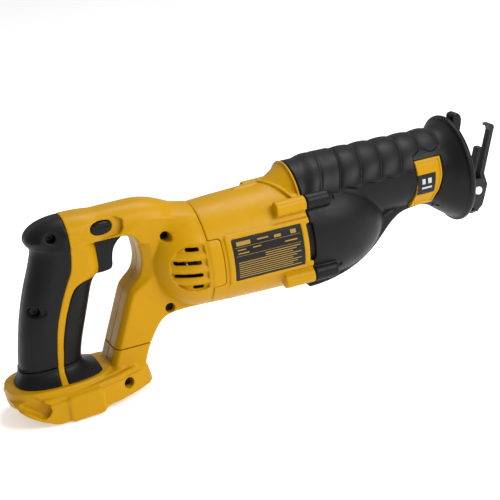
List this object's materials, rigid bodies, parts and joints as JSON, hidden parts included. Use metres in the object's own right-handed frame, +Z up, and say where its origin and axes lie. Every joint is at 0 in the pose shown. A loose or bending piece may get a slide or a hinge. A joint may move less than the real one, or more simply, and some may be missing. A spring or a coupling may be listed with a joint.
{
  "type": "reciprocating saw",
  "caption": "Cordless reciprocating saw, bare tool: D-handle with battery base, motor housing, ribbed front boot with flared rim and a pivoting slotted shoe.",
  "frame": {"origin": "mouth of the battery socket: the point of the base's underside plane midway along and across the base", "axes": "+X towards the blade, +Z up, +Y to the tool's left; the motor axis runs along +X at z 0.098"},
  "size_m": [0.4418, 0.0914, 0.1628],
  "materials": {
    "yellow_shell": "fine moulded grain",
    "black_rubber": "soft matt overmould",
    "black_plastic": "matt moulded",
    "label": "printed film",
    "steel": "ground",
    "black_steel": "black oxide",
    "copper": "enamelled wire and copper bars",
    "brass": "stamped",
    "alloy": "die cast"
  },
  "bodies": {
    "housing": {"handle_shell_right": "yellow_shell", "handle_shell_left": "yellow_shell", "base_shell_right": "yellow_shell", "base_shell_left": "yellow_shell", "motor_housing": "yellow_shell", "gear_case": "alloy", "motor_plate": "alloy", "front_boot": "black_rubber", "rear_grip": "black_rubber", "front_grip": "black_rubber", "grip_foot": "black_rubber", "badge_plate": "yellow_shell", "badge": "black_plastic", "rating_label": "label", "handle_screws": "steel", "base_screw": "steel", "gear_case_screws": "steel", "trigger_switch": "black_plastic", "terminal_block": "black_plastic", "battery_contacts": "brass", "motor_can": "steel", "motor_magnets": "black_steel", "brush_plate": "black_plastic", "brush_holders": "brass", "carbon_brushes": "black_steel", "rear_motor_bearing": "steel", "front_motor_bearing": "steel", "crank_bearing": "steel", "plunger_bushing": "brass", "plunger_seal": "black_rubber", "shoe_bracket": "black_steel"},
    "trigger_body": {"trigger": "black_plastic"},
    "lock_body": {"lock_button": "black_plastic"},
    "armature": {"armature_shaft": "steel", "armature_core": "black_steel", "armature_windings": "copper", "commutator": "copper", "motor_fan": "black_plastic", "motor_pinion": "steel"},
    "crank": {"crank_gear": "steel", "crank_shaft": "steel", "crank_pin": "steel"},
    "ram": {"plunger": "steel", "yoke": "steel", "blade_clamp": "black_steel"},
    "sleeve": {"clamp_sleeve": "steel"},
    "lever": {"release_lever": "black_steel"},
    "shoe_body": {"shoe": "black_steel", "shoe_pivot_pin": "steel"}
  },
  "joints": [
    {"name": "trigger_pull", "type": "slide", "parent": "housing", "child": "trigger_body", "axis": [-1, 0, 0], "range_m": [0, 0.007], "stiffness_N_per_m": 400, "springref_m": -0.004},
    {"name": "lock_push", "type": "slide", "parent": "housing", "child": "lock_body", "axis": [0, 1, 0], "range_m": [-0.003, 0.003]},
    {"name": "crank_spin", "type": "hinge", "parent": "housing", "child": "crank", "pos_m": [0.234, 0, 0.098], "axis": [0, 0, 1], "continuous": true},
    {"name": "armature_spin", "type": "hinge", "parent": "housing", "child": "armature", "pos_m": [0.118, 0, 0.098], "axis": [1, 0, 0], "continuous": true},
    {"name": "plunger_stroke", "type": "slide", "parent": "housing", "child": "ram", "axis": [1, 0, 0], "range_m": [0, 0.0286]},
    {"name": "lever_lift", "type": "hinge", "parent": "housing", "child": "lever", "pos_m": [0.353, 0, 0.116], "axis": [1, 0, 0], "range_deg": [0, 60], "stiffness_Nm_per_rad": 0.05, "springref_deg": -22.92},
    {"name": "sleeve_turn", "type": "hinge", "parent": "ram", "child": "sleeve", "pos_m": [0.325, 0, 0.116], "axis": [1, 0, 0], "range_deg": [0, 60]},
    {"name": "shoe_tilt", "type": "hinge", "parent": "housing", "child": "shoe_body", "pos_m": [0.3645, 0, 0.096], "axis": [0, 1, 0], "range_deg": [-15, 14]}
  ],
  "couplings": [
    {"joint": "armature_spin", "follows": "crank_spin", "ratio": -6.5},
    {"joint": "sleeve_turn", "follows": "lever_lift", "ratio": 1}
  ]
}
